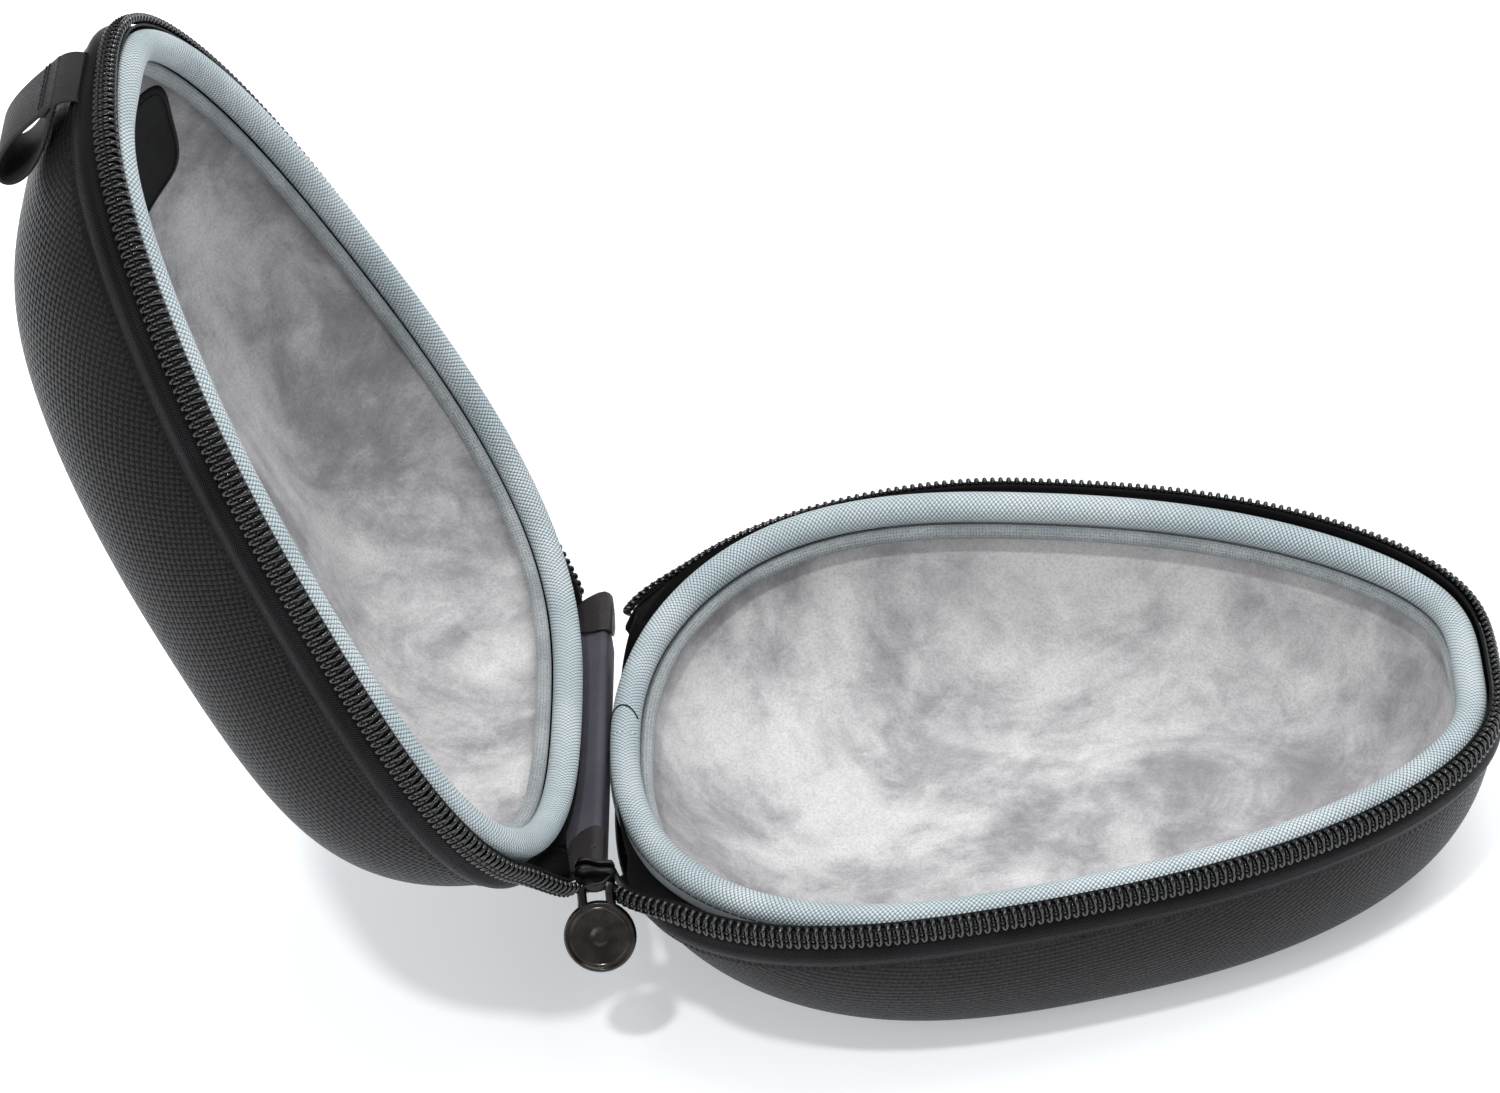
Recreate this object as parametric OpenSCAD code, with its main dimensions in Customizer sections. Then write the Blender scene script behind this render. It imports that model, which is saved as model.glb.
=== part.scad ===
// Hard-shell carrying case for headphones: two moulded shells joined by a
// fabric hinge, closed by a zipper, with the lid standing open.
// X runs from the hinge to the front, Y across the case and Z up.
// The origin is the middle of the flat underside.

/* [Case] */
// Length of the rim from the hinge to the front
case_len = 240; // [220:1:260]
// Width of the rim at its widest place
case_width = 197; // [180:1:210]
// Depth of the base below the closing line
base_depth = 59; // [52:1:70]
// Depth of the lid above the closing line
lid_depth = 61; // [52:1:70]
// Rise of the closing line at the middle of the long sides
side_rise = 6.3; // [0:0.1:9]
// Angle between the two rims with the lid fully open
open_angle = 111.5; // [80:0.5:115]

/* [Outline] */
// Squareness of the outline at the hinge end, where 2 is an ellipse
hinge_square = 3.4; // [3:0.1:4.5]
// Squareness of the outline at the front end
front_square = 3.2; // [2.6:0.1:5]
// Squareness of the base's padded roll at the hinge end
base_roll_square = 2.6; // [2.4:0.1:3]
// Squareness of the lid's padded roll at the hinge end
lid_roll_square = 3.2; // [2.6:0.1:3.4]
// How much wider the hinge half is than the front half
taper = 0.235; // [0:0.005:0.3]
// How quickly the width falls off towards both ends
fullness = 0.143; // [0.1:0.001:0.35]

/* [Walls] */
// Thickness of the woven outer cover
cover_t = 1; // [0.8:0.1:1.2]
// Thickness of the moulded foam core
core_t = 3.2; // [2.5:0.1:4]
// Thickness of the plush lining
lining_t = 1.6; // [1:0.1:2]
// Depth below the closing line at which the cover starts
seam_d = 13; // [12:0.5:14]

/* [Rim] */
// Radius of the padded roll around each mouth
roll_r = 4.1; // [3.8:0.1:4.4]
// Radius of the foam cord inside the roll
roll_cord_r = 3.1; // [2.5:0.1:3.2]
// Radius of the welt between the roll and the lining
welt_r = 2.1; // [1.2:0.1:2.2]
// Gap from the closing line to everything along the rim
rim_gap = 0.25; // [0.2:0.05:0.5]

/* [Hinge] */
// Distance from the rim to the hinge line behind it
hinge_out = 4; // [3.5:0.1:5]
// Width of the fabric hinge panel along the hinge line
panel_w = 100; // [90:1:104]
// Thickness of the hinge panel
panel_t = 1; // [0.8:0.1:1.2]

/* [Zipper] */
// Length of the slider along the zipper
slider_len = 11; // [10:0.5:14]
// Diameter of the disc at the end of the puller
disc_d = 19.4; // [16:0.2:20]
// Thickness of the disc
disc_t = 2.4; // [1.8:0.1:3]
// Distance from the puller's pivot to the centre of the disc
disc_drop = 14; // [13.6:0.2:18]

/* [Handle] */
// Width of the webbing handle
strap_w = 23; // [18:1:30]
// Length of the handle's loop
strap_len = 28; // [26:1:34]
// Thickness of the webbing
strap_t = 1.3; // [1:0.1:1.6]

/* [Hidden] */

BASE = -1;                      // walls of the base go down from the closing line
LID = 1;                        // walls of the closed lid go up from it
STATIONS = 60;                  // places around the outline
WALL_STEPS = 6;                 // steps down a shell's wall
hinge_x = -case_len / 2 - hinge_out;
half_w = case_width / 2 / (1 + taper * taper / (4 * fullness));

// A shell is [depth, floor share, wall roundness, floor centre, lean].
base_shell = [base_depth, 0.55, 1.92, 10, 8];
lid_shell = [lid_depth, 0.61, 1.8, 2, -11];

cover_out = 1;                  // the cover's face stands out past the closing line
core_d = 11;                    // depth at which the core and the lining start
facing_d = 8.7;                 // depth of the strip under the roll
facing_t = 0.7;
facing_n = -1.7;                // offset of the strip's outer edge
roll_n = -6.2;                  // offset of the roll's centre from the outline
roll_swell = 3.6;               // how much further out the base's roll is at the hinge
swell_a = 46;                   // angle from the hinge within which it swells
cord_gap = 0.3;                 // gap around the cord inside a roll
welt_n = -9.2;
welt_d = 10.3;
zip_start = 34;                 // angles between which the zipper runs
zip_end = 360 - zip_start;
tab_w = 15;                     // width of the tabs over the zipper's ends
tab_lift = 0.35;                // gap from the hinge panel up to a tab
tab_t = 0.7;
tab_up = 6;                     // how far a tab reaches down the base's wall and the lid's
tab_down = 8;
patch_t = 0.6;
patch_lift = 0.6;               // gap from the lining to the label
// Middle of the label as [a, v], and the steps from there to its side and its end.
patch_middle = [128.2, 39.4];
patch_side = [2.2, 16.4];
patch_end = [-7, 8.5];

// ---- Outline of the rim -------------------------------------------------

// a is 0 at the hinge, 90 on the far side, 180 at the front.
function outline(a, sq) =
    let (n = front_square + (sq - front_square) * (1 + cos(a)) / 2,
         r = pow(pow(abs(cos(a)), n) + pow(abs(sin(a)), n), -1 / n),
         u = r * cos(a))
    [-case_len / 2 * u, half_w * r * sin(a) * (1 + taper * u - fullness * u * u)];

function outward(a, sq) =
    let (t = outline(a + 1, sq) - outline(a - 1, sq))
    [-t.y, t.x] / norm(t);

function rim_xy(a, n, sq) = outline(a, sq) + n * outward(a, sq);

// Squareness of everything that follows the padded roll.
function roll_square(side) = side == BASE ? base_roll_square : lid_roll_square;

function closing_z(y, fade) = base_depth + side_rise * pow(2 * y / case_width, 2) * fade;

// n is measured outwards from the outline, d away from the closing line.
function rim_point(side, a, n, d, sq) =
    let (p = rim_xy(a, n, sq),
         depth = side == BASE ? base_depth : lid_depth)
    [p.x, p.y, closing_z(p.y, 1 - pow(d / depth, 2)) + side * d];

// ---- Surface of a shell -------------------------------------------------

// t is the distance in from the cover's outer face, v runs 0 to 90 down the wall.
function shell_point(side, a, v, t, sq) =
    let (s = side == BASE ? base_shell : lid_shell,
         p = rim_xy(a, cover_out - t, sq),
         share = s[1] + (1 - s[1]) * pow(cos(v), 2 / s[2]),
         down = pow(sin(v), 2 / s[2]),
         d = (s[0] - t) * down,
         y = p.y * share)
    [s[3] + (p.x - s[3]) * share + s[4] * down * down, y,
     closing_z(y, 1 - down * down) + side * d];

function wall_start(side, d) =
    let (s = side == BASE ? base_shell : lid_shell)
    asin(pow(d / s[0], s[2] / 2));

// ---- Meshes -------------------------------------------------------------

function flip(faces) = [for (f = faces) [for (i = [len(f) - 1:-1:0]) f[i]]];

// Two triangles for each cell of a grid whose rows are closed loops of cols points.
function cell_faces(rows, cols, loop, skip = -1) =
    [for (i = [0:rows - (loop ? 1 : 2)], k = [0:cols - 1]) if (k != skip)
        let (j = (i + 1) % rows, m = (k + 1) % cols,
             a = i * cols + k, b = i * cols + m, c = j * cols + m, e = j * cols + k)
        each [[a, b, c], [a, c, e]]];

// 1 at the hinge, fading to 0 at swell_a from it on both sides.
function near_hinge(a) =
    let (from_hinge = min(a, 360 - a))
    from_hinge < swell_a ? (1 + cos(180 * from_hinge / swell_a)) / 2 : 0;

// A ring of constant section right round the rim. section holds [n, d] points,
// and swell moves them outwards at the hinge.
module rim_ring(side, section, sq, swell = 0) {
    cols = len(section);
    points = [for (i = [0:STATIONS - 1], q = section) let (a = i * 360 / STATIONS)
        rim_point(side, a, q[0] + swell * near_hinge(a), q[1], sq)];
    faces = cell_faces(STATIONS, cols, true);
    polyhedron(points, side == BASE ? faces : flip(faces), convexity = 6);
}

// The same, left open at the hinge.
module rim_strip(side, section, sq, from_a, to_a) {
    cols = len(section);
    rows = STATIONS;
    points = [for (i = [0:rows - 1], q = section)
        rim_point(side, from_a + (to_a - from_a) * i / (rows - 1), q[0], q[1], sq)];
    caps = [[for (k = [cols - 1:-1:0]) k],
            [for (k = [0:cols - 1]) (rows - 1) * cols + k]];
    faces = concat(cell_faces(rows, cols, false), caps);
    polyhedron(points, side == BASE ? faces : flip(faces), convexity = 6);
}

// A bowl between two offsets, each with its own outline.
module shell_bowl(side, outer_t, outer_sq, inner_t, inner_sq, start_d) {
    v0 = wall_start(side, start_d);
    cols = 2 * WALL_STEPS + 2;
    steps = [for (k = [0:WALL_STEPS]) v0 + (90 - v0) * k / WALL_STEPS];
    points = [for (i = [0:STATIONS - 1]) let (a = i * 360 / STATIONS)
        each concat([for (v = steps) shell_point(side, a, v, outer_t, outer_sq)],
                    [for (k = [WALL_STEPS:-1:0])
                        shell_point(side, a, steps[k], inner_t, inner_sq)])];
    floor_out = [for (i = [STATIONS - 1:-1:0]) i * cols + WALL_STEPS];
    floor_in = [for (i = [0:STATIONS - 1]) i * cols + WALL_STEPS + 1];
    faces = concat(cell_faces(STATIONS, cols, true, WALL_STEPS), [floor_out, floor_in]);
    polyhedron(points, side == BASE ? faces : flip(faces), convexity = 6);
}

function round_section(n, d, r, count) =
    [for (k = [0:count - 1]) let (b = 360 * (k + 0.5) / count) [n + r * cos(b), d + r * sin(b)]];

// Puts the lid's pieces, drawn closed, where the open lid has them.
module opened() {
    translate([hinge_x, 0, base_depth]) rotate([0, -open_angle, 0])
        translate([-hinge_x, 0, -base_depth]) children();
}

// ---- Shell layers -------------------------------------------------------

module cover(side) {
    color([0.13, 0.13, 0.14])
        shell_bowl(side, 0, hinge_square, cover_t, hinge_square, seam_d);
}

module core(side) {
    color([0.2, 0.2, 0.22])
        shell_bowl(side, cover_t, hinge_square, cover_t + core_t, roll_square(side), core_d);
}

module lining(side) {
    color([0.78, 0.77, 0.78])
        shell_bowl(side, cover_t + core_t, roll_square(side),
                   cover_t + core_t + lining_t, roll_square(side), core_d);
}

// ---- Rim ----------------------------------------------------------------

// Black strip that closes the gap between the zipper tape and the roll.
module facing(side) {
    rows = STATIONS;
    points = [for (i = [0:rows - 1]) let (a = i * 360 / rows)
        each [rim_point(side, a, facing_n, facing_d, hinge_square),
              rim_point(side, a, facing_n, facing_d + facing_t, hinge_square),
              rim_point(side, a, roll_n, facing_d + facing_t, roll_square(side)),
              rim_point(side, a, roll_n, facing_d, roll_square(side))]];
    faces = cell_faces(rows, 4, true);
    color([0.1, 0.09, 0.1])
        polyhedron(points, side == BASE ? faces : flip(faces), convexity = 6);
}

module roll(side) {
    swell = side == BASE ? roll_swell : 0;
    roll_d = rim_gap + roll_r;
    hole_r = roll_cord_r + cord_gap;
    color([0.72, 0.77, 0.79]) difference() {
        rim_ring(side, round_section(roll_n, roll_d, roll_r, 10), roll_square(side), swell);
        rim_ring(side, round_section(roll_n, roll_d, hole_r, 8), roll_square(side), swell);
    }
}

module roll_cord(side) {
    color([0.9, 0.9, 0.88])
        rim_ring(side, round_section(roll_n, rim_gap + roll_r, roll_cord_r, 8),
                 roll_square(side), side == BASE ? roll_swell : 0);
}

module welt(side) {
    color([0.66, 0.7, 0.72])
        rim_ring(side, round_section(welt_n, welt_d, welt_r, 6), roll_square(side));
}

module zipper_tape(side) {
    section = [[-0.5, 0.9], [-0.5, 6], [2, 9.5], [1, 15.5],
               [-0.3, 15.5], [0.9, 9.5], [-1.4, 6], [-1.4, 0.9]];
    color([0.16, 0.16, 0.17]) rim_strip(side, section, hinge_square, zip_start, zip_end);
}

module zipper_coil(side) {
    section = [[1.6, rim_gap], [3, 2], [3, 5], [1.2, 5.4], [-0.3, 4.6], [-0.3, rim_gap]];
    color([0.08, 0.08, 0.09]) rim_strip(side, section, hinge_square, zip_start, zip_end);
}

// ---- Hinge --------------------------------------------------------------

// Strip that runs up the base's wall, over the hinge line and down the lid's wall.
// r is its inner radius about the hinge line; up and down are the straight lengths.
module hinge_strip(r, t, up, down, width) {
    turn = [for (k = [0:8]) open_angle * k / 8];
    lid_dir = [-sin(open_angle), cos(open_angle)];
    lid_face = [cos(open_angle), sin(open_angle)];
    inner = concat([[r, -up]], [for (a = turn) r * [cos(a), sin(a)]],
                   [r * lid_face + down * lid_dir]);
    outer = concat([[r + t, -up]], [for (a = turn) (r + t) * [cos(a), sin(a)]],
                   [(r + t) * lid_face + down * lid_dir]);
    count = len(outer);
    translate([hinge_x, width / 2, base_depth]) rotate([90, 0, 0])
        linear_extrude(width)
            polygon(concat(inner, [for (i = [count - 1:-1:0]) outer[i]]));
}

panel_r = 0.6;                  // radius of the bend over the hinge line
panel_up = 15;                  // length of the panel down each wall

module hinge_panel() {
    color([0.29, 0.29, 0.32]) hinge_strip(panel_r, panel_t, panel_up, panel_up, panel_w);
}

module hinge_tab(end) {
    color([0.23, 0.21, 0.22])
        translate([0, end * panel_w / 2, 0])
            hinge_strip(panel_r + panel_t + tab_lift, tab_t, tab_up, tab_down, tab_w);
}

// ---- Slider and puller --------------------------------------------------

// The slider is parked where the two coils meet, at the near end of the hinge.
slider_pos = [hinge_x + 0.5, -panel_w / 2 - 10.9, base_depth + 1.5];
slider_h = 9;                   // height of the slider across both coils
slider_t = 1.4;                 // thickness of each of its two plates
slider_gap = 1.8;               // space between the plates
lug_r = 3.6;                    // radius of the lug that the puller hangs from
pivot_out = 4.2;                // distance of the puller's pivot from the slider's middle
pivot_r = 0.85;
pivot_gap = 0.35;               // gap around the pivot in the lug
nose_share = 0.66;              // height of the slider's narrow end
bridge = [3.2, 3.5, 2.4];       // post that joins the two plates
bridge_y = -2;
lug_w = 2.4;
bail_w = 7.4;
disc_rim = 1.5;                 // width and height of the rim around the disc
disc_sink = 0.5;
puller_lean = 30;               // how far the puller stands out from hanging straight down

// Draws children with +X pointing straight out of the case at the slider.
module at_slider() {
    translate(slider_pos) rotate([0, 0, -90]) children();
}

module plate(x) {
    nose = slider_h * nose_share;
    translate([x, 0, 0]) rotate([0, 90, 0]) linear_extrude(slider_t, center = true)
        hull() {
            translate([0, (slider_h - slider_len) / 2]) circle(d = slider_h, $fn = 32);
            translate([0, (slider_len - nose) / 2]) circle(d = nose, $fn = 32);
        }
}

module slider_body() {
    plate_x = (slider_gap + slider_t) / 2;
    lug_x = plate_x + slider_t / 2 - 0.1;
    color([0.2, 0.18, 0.17]) at_slider() {
        plate(-plate_x);
        plate(plate_x);
        translate([-bridge.x / 2, bridge_y, -bridge.z / 2]) cube(bridge);
        translate([lug_x, lug_w / 2, 0]) rotate([90, 0, 0])
            difference() {
                cylinder(h = lug_w, r = lug_r, $fn = 48);
                translate([-2 * lug_r, -2 * lug_r, -1]) cube([2 * lug_r, 4 * lug_r, lug_w + 2]);
                translate([pivot_out - lug_x, 0, -1])
                    cylinder(h = lug_w + 2, r = pivot_r + pivot_gap, $fn = 32);
            }
    }
}

// A cast bail and disc that hang from the slider's lug.
module puller() {
    bar_len = disc_drop - disc_d / 2 + disc_rim;
    color([0.24, 0.21, 0.19])
        translate(slider_pos - [0, pivot_out, 0]) rotate([-puller_lean, 0, 0]) {
            translate([-bail_w / 2, 0, 0]) rotate([0, 90, 0])
                cylinder(h = bail_w, r = pivot_r, $fn = 32);
            for (x = [-1, 1])
                translate([x * bail_w / 2 - pivot_r, -pivot_r, -bar_len])
                    cube([2 * pivot_r, 2 * pivot_r, bar_len]);
            translate([0, disc_t / 2, -disc_drop]) rotate([90, 0, 0]) difference() {
                cylinder(h = disc_t, d = disc_d, $fn = 96);
                translate([0, 0, disc_t - disc_sink])
                    cylinder(h = 1, d = disc_d - 2 * disc_rim, $fn = 96);
            }
        }
}

// ---- Handle and label ---------------------------------------------------

loop_taper = 1.4;               // how far from the seam the loop is at its widest
seam_half = 0.9;                // half the handle's thickness at the seam

// The loop's outline as [along, across], a teardrop that narrows to the seam.
function teardrop(length, bulge, root) =
    [for (k = [0:40]) let (s = 360 * k / 40)
        [length * (1 - cos(s)) / 2,
         bulge * sin(s) * pow(sin(s / 2), loop_taper) + sign(180 - s) * root * (1 + cos(s)) / 2]];

handle_n = 4.2;                 // offset and depth of the line that the handle swings on
handle_d = 17;
handle_lean = 30;               // angle of the loop in from upright, on a closed lid
sewn_len = 5;                   // length over which the two layers are sewn together
handle_gap = 5;                 // how far the two sides bulge from the middle of the loop

module handle_strap() {
    at = rim_point(LID, 180, handle_n, handle_d, hinge_square);
    color([0.25, 0.24, 0.25]) opened()
        translate([at.x, strap_w / 2, at.z]) rotate([90, 0, 0]) rotate(90 + handle_lean)
            linear_extrude(strap_w) {
                difference() {
                    polygon(teardrop(strap_len, handle_gap + strap_t, seam_half));
                    translate([sewn_len, 0])
                        polygon(teardrop(strap_len - sewn_len - strap_t, handle_gap, 0.2));
                }
            }
}

// A blank woven label on the lining of the lid.
module label_patch() {
    rows = 7;
    cols = 7;
    back = cover_t + core_t + lining_t + patch_lift;
    lift = [back, back + patch_t];
    points = [for (t = lift, i = [0:rows - 1], k = [0:cols - 1])
        let (at = patch_middle + patch_side * (2 * i / (rows - 1) - 1)
                  + patch_end * (2 * k / (cols - 1) - 1))
        shell_point(LID, at[0], at[1], t, lid_roll_square)];
    count = rows * cols;
    cell = function (i, k, level) level * count + i * cols + k;
    sheets = [for (i = [0:rows - 2], k = [0:cols - 2])
        each [[cell(i, k, 0), cell(i, k + 1, 0), cell(i + 1, k + 1, 0)],
              [cell(i, k, 0), cell(i + 1, k + 1, 0), cell(i + 1, k, 0)],
              [cell(i, k, 1), cell(i + 1, k + 1, 1), cell(i, k + 1, 1)],
              [cell(i, k, 1), cell(i + 1, k, 1), cell(i + 1, k + 1, 1)]]];
    edge = concat([for (k = [0:cols - 2]) [0, k]],
                  [for (i = [0:rows - 2]) [i, cols - 1]],
                  [for (k = [cols - 1:-1:1]) [rows - 1, k]],
                  [for (i = [rows - 1:-1:1]) [i, 0]]);
    sides = [for (i = [0:len(edge) - 1])
        let (p = edge[i], q = edge[(i + 1) % len(edge)])
        each [[cell(p[0], p[1], 0), cell(q[0], q[1], 1), cell(q[0], q[1], 0)],
              [cell(p[0], p[1], 0), cell(p[0], p[1], 1), cell(q[0], q[1], 1)]]];
    color([0.12, 0.12, 0.13]) opened() polyhedron(points, concat(sheets, sides), convexity = 4);
}

cover(BASE);  // base_cover
core(BASE);  // base_core
lining(BASE);  // base_lining
facing(BASE);  // base_facing
roll(BASE);  // base_roll
roll_cord(BASE);  // base_roll_cord
welt(BASE);  // base_welt
zipper_tape(BASE);  // base_zipper_tape
zipper_coil(BASE);  // base_zipper_coil
opened() cover(LID);  // lid_cover
opened() core(LID);  // lid_core
opened() lining(LID);  // lid_lining
opened() facing(LID);  // lid_facing
opened() roll(LID);  // lid_roll
opened() roll_cord(LID);  // lid_roll_cord
opened() welt(LID);  // lid_welt
opened() zipper_tape(LID);  // lid_zipper_tape
opened() zipper_coil(LID);  // lid_zipper_coil
hinge_panel();
hinge_tab(-1);  // hinge_tab_near
hinge_tab(1);  // hinge_tab_far
slider_body();
puller();
handle_strap();
label_patch();
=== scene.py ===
"""Headphone carrying case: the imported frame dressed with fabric, zipper and cast metal."""
import math

import bmesh
import bpy
import numpy as np
from mathutils import Matrix, Vector

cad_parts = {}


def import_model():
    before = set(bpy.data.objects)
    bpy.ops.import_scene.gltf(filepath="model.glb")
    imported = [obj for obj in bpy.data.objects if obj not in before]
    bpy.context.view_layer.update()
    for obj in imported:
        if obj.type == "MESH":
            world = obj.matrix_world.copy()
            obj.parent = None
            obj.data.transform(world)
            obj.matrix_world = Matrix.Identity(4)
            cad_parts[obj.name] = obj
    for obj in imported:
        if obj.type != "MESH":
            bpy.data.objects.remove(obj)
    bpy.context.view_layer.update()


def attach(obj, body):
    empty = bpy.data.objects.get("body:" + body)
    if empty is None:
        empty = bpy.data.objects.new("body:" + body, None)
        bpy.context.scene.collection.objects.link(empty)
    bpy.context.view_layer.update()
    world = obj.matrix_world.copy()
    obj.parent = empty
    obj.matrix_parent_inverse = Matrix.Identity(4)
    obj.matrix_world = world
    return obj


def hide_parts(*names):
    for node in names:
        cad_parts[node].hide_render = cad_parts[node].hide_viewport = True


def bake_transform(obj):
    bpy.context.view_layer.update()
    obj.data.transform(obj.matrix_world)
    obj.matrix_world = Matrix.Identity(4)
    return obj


MM = 0.001
# Points nearer than this, in metres, are one point of a seam.
SEAM_DIST = 1e-6
BASE, LID = -1, 1
BODY = {BASE: "base", LID: "lid"}

# Sizes in millimetres.
CASE_LEN = 240
CASE_WIDTH = 197
BASE_DEPTH = 59
LID_DEPTH = 61
SIDE_RISE = 6.3
OPEN_ANGLE = 111.5
HINGE_SQUARE = 3.4
FRONT_SQUARE = 3.2
ROLL_SQUARE = {BASE: 2.6, LID: 3.2}
TAPER = 0.235
FULLNESS = 0.143
HALF_W = CASE_WIDTH / 2 / (1 + TAPER ** 2 / (4 * FULLNESS))
HINGE_X = -CASE_LEN / 2 - 4
COVER_OUT = 1.0
SEAM_D = 13.0
LINING_T = 5.8
# Depth, floor share, wall roundness, floor centre and lean of each shell.
SHELL = {BASE: (59, 0.55, 1.92, 10, 8), LID: (61, 0.61, 1.8, 2, -11)}
ROLL_N, ROLL_D, ROLL_R = -6.2, 4.35, 4.1
ROLL_SWELL = {BASE: 3.6, LID: 0.0}
SWELL_A = 46
WELT_N, WELT_D, WELT_R = -9.2, 10.3, 2.1
WELT_SWELL = {BASE: 1.6, LID: 0.0}
ZIP_START = 32
# How far the zipper's ends are drawn from the outline to the slider, at the near end.
END_PULL = {BASE: (-4.0, -5.0, -1.0), LID: (-8.0, -4.0, -0.8)}
# How much lower the zipper lies on the far side: at the hinge, and all the way round.
FAR_DIP = {BASE: 9.0, LID: 1.5}
FAR_RECESS = {BASE: 0.0, LID: 2.3}
PANEL_W = 100
STRAP_W = 23


# ---- Outline, rim and shells ----------------------------------------------

def outline(a, square):
    """Rim outline at angles a in degrees: 0 at the hinge, 90 on the far side, 180 at the front."""
    c, s = np.cos(np.radians(a)), np.sin(np.radians(a))
    n = FRONT_SQUARE + (square - FRONT_SQUARE) * (1 + c) / 2
    r = (np.abs(c) ** n + np.abs(s) ** n) ** (-1 / n)
    u = r * c
    return np.stack([-CASE_LEN / 2 * u, HALF_W * r * s * (1 + TAPER * u - FULLNESS * u * u)], -1)


def rim_xy(a, n, square):
    """The outline moved outwards by n."""
    t = outline(a + 1, square) - outline(a - 1, square)
    t /= np.linalg.norm(t, axis=-1, keepdims=True)
    return outline(a, square) + np.asarray(n)[..., None] * np.stack([-t[..., 1], t[..., 0]], -1)


def closing_z(y, fade):
    """Height of the saddle-shaped closing line."""
    return BASE_DEPTH + SIDE_RISE * (2 * y / CASE_WIDTH) ** 2 * fade


def rim_points(side, a, n, d, square):
    """Points at offset n outwards from the outline and depth d from the closing line."""
    a, n, d = np.broadcast_arrays(np.asarray(a, float), n, d)
    xy = rim_xy(a, n, square)
    depth = BASE_DEPTH if side == BASE else LID_DEPTH
    z = closing_z(xy[..., 1], 1 - (d / depth) ** 2) + side * d
    return np.stack([xy[..., 0], xy[..., 1], z], -1)


def smooth_step(x):
    x = np.clip(x, 0, 1)
    return x * x * (3 - 2 * x)


def from_hinge(a):
    """Angle between a and the hinge, the same on both sides."""
    return 180 - np.abs(180 - np.asarray(a, float) % 360)


def roll_points(side, a, n, d, swell=ROLL_SWELL):
    """Rim points for the padded rolls, which stand further out at the hinge."""
    near = np.where(from_hinge(a) < SWELL_A, (1 + np.cos(np.pi * from_hinge(a) / SWELL_A)) / 2, 0)
    return rim_points(side, a, n + swell[side] * near, d, ROLL_SQUARE[side])


def welt_points(side, a, n, d):
    return roll_points(side, a, n, d, WELT_SWELL)


def zip_points(side, a, n, d):
    """Rim points for the zipper, which leaves the outline for the slider and dips at its far end."""
    a, n, d = np.broadcast_arrays(np.asarray(a, float), n, d)
    far = a < 180
    dip = np.where(far, FAR_DIP[side] * smooth_step((88 - from_hinge(a)) / 42), 0)
    dip = dip + FAR_RECESS[side] * smooth_step((205 - a) / 35)
    p = rim_points(side, a, n, d + dip * (1 - np.clip(d / 14, 0, 1)), HINGE_SQUARE)
    share = smooth_step((45 - from_hinge(a)) / 13) * (1 - smooth_step((d - 4.5) / 4))
    pull = np.stack(np.broadcast_arrays(*END_PULL[side], share)[:3], -1)
    pull = pull * np.stack([np.ones(a.shape), np.where(far, -1.0, 1.0), np.ones(a.shape)], -1)
    return p + pull * share[..., None]


def shell_points(side, a, v, t, square):
    """Points of a shell, t in from the cover's face and v from 0 to 90 degrees down the wall."""
    depth, floor_share, roundness, centre, lean = SHELL[side]
    a, v, t = np.broadcast_arrays(np.asarray(a, float), v, t)
    p = rim_xy(a, COVER_OUT - t, square)
    share = floor_share + (1 - floor_share) * np.cos(np.radians(v)) ** (2 / roundness)
    down = np.sin(np.radians(v)) ** (2 / roundness)
    x = centre + (p[..., 0] - centre) * share + lean * down ** 2
    y = p[..., 1] * share
    return np.stack([x, y, closing_z(y, 1 - down ** 2) + side * (depth - t) * down], -1)


def wall_start(side, d):
    """Angle v at which a shell is d below the closing line."""
    depth, _, roundness, _, _ = SHELL[side]
    return math.degrees(math.asin((d / depth) ** (roundness / 2)))


def placed(side, points):
    """Puts the lid's points, made closed, where the open lid has them."""
    if side == BASE:
        return points
    c, s = math.cos(math.radians(OPEN_ANGLE)), math.sin(math.radians(OPEN_ANGLE))
    x, z = points[..., 0] - HINGE_X, points[..., 2] - BASE_DEPTH
    return np.stack([HINGE_X + x * c - z * s, points[..., 1], BASE_DEPTH + x * s + z * c], -1)


# ---- Meshes ---------------------------------------------------------------

def add_mesh(name, verts, faces, uv=None, side=BASE):
    """A mesh object from points in millimetres, with a UV in millimetres for each vertex."""
    mesh = bpy.data.meshes.new(name)
    points = np.asarray(verts, float).reshape(-1, 3)
    mesh.from_pydata((placed(side, points) * MM).tolist(), [], faces)
    if uv is not None:
        layer = mesh.uv_layers.new(name="UVMap")
        corner = np.empty(len(mesh.loops), np.int32)
        mesh.loops.foreach_get("vertex_index", corner)
        flat_uv = np.asarray(uv, np.float32).reshape(-1, 2)
        layer.data.foreach_set("uv", flat_uv[corner].ravel())
    mesh.polygons.foreach_set("use_smooth", [True] * len(mesh.polygons))
    mesh.update()
    obj = bpy.data.objects.new(name, mesh)
    bpy.context.collection.objects.link(obj)
    return obj


def recalc_normals(obj, merge=False):
    """Turns every face outwards, after joining the doubled points along a seam if asked to."""
    bm = bmesh.new()
    bm.from_mesh(obj.data)
    if merge:
        bmesh.ops.remove_doubles(bm, verts=bm.verts, dist=SEAM_DIST)
    bmesh.ops.recalc_face_normals(bm, faces=bm.faces)
    bm.to_mesh(obj.data)
    bm.free()


def grid_faces(rows, cols, loop_rows=False, loop_cols=False, first=0):
    """Quads over a grid of rows by cols points."""
    faces = []
    for i in range(rows if loop_rows else rows - 1):
        j = (i + 1) % rows
        for k in range(cols if loop_cols else cols - 1):
            m = (k + 1) % cols
            faces.append((first + i * cols + k, first + j * cols + k,
                          first + j * cols + m, first + i * cols + m))
    return faces


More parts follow.
